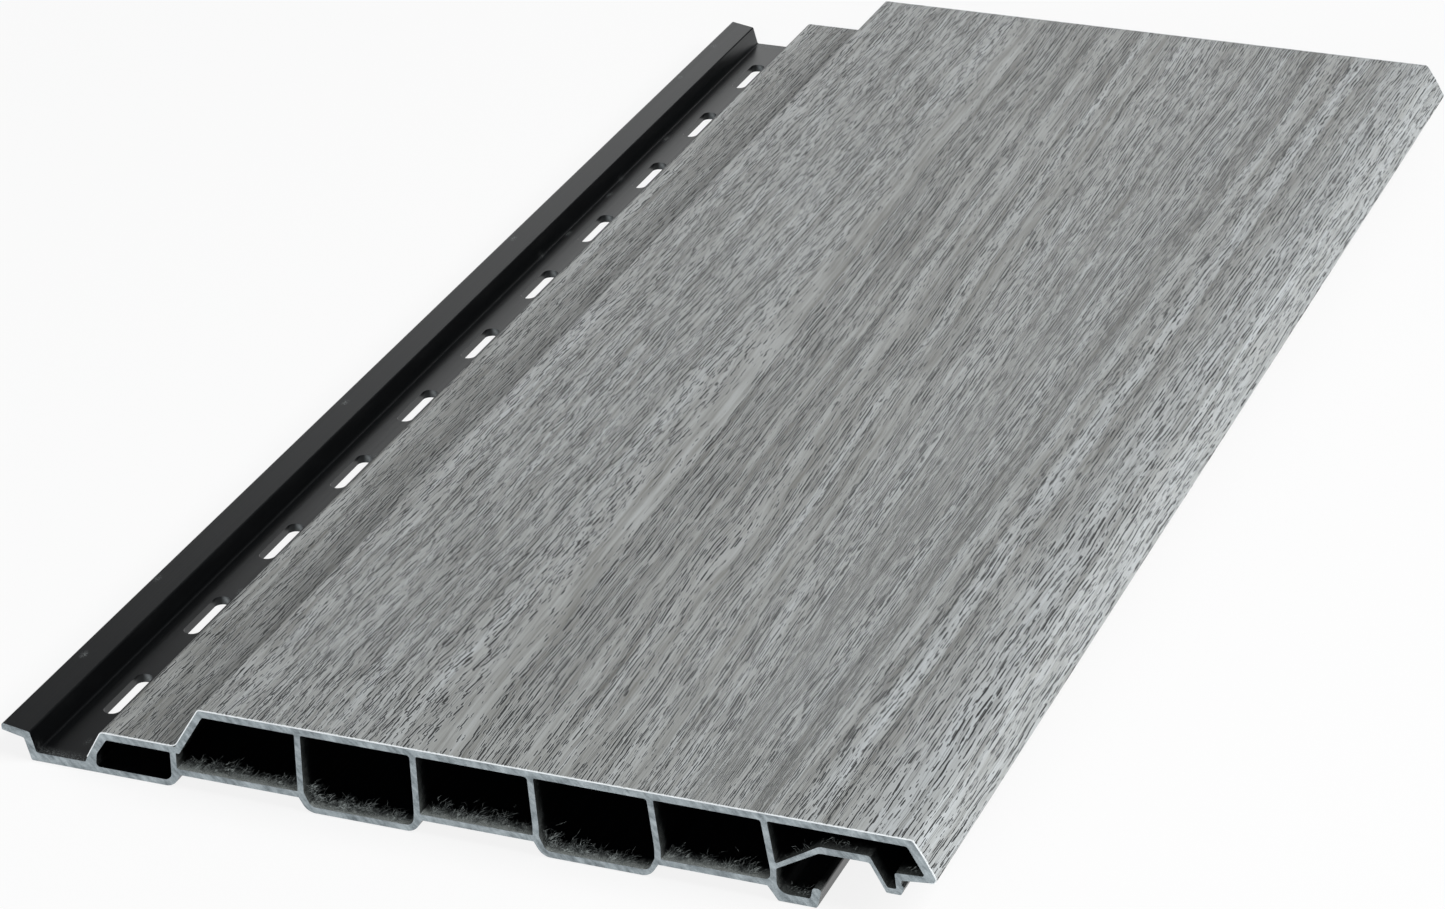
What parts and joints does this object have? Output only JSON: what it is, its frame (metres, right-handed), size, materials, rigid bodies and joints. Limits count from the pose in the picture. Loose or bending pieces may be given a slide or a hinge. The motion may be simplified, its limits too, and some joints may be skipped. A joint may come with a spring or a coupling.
{
  "type": "wall cladding panel",
  "caption": "Hollow PVC exterior wall cladding panel with a grey wood-decor film, a slotted nailing flange with a lip, and a hooked, bevelled interlocking edge.",
  "frame": {"origin": "middle of the panel's box, on the plane that its back lies on", "axes": "+X across the panel from the nailing flange to the nose, +Y along the extrusion, +Z out of the decor face"},
  "size_m": [0.1942, 0.4, 0.0184],
  "materials": {
    "dark_pvc": "satin anthracite skin, pale grey where it is sawn",
    "wood_decor_film": "satin embossed film with a weathered grey wood decor"
  },
  "bodies": {
    "root": {"panel_profile": "dark_pvc", "decor_film": "wood_decor_film"}
  },
  "joints": []
}
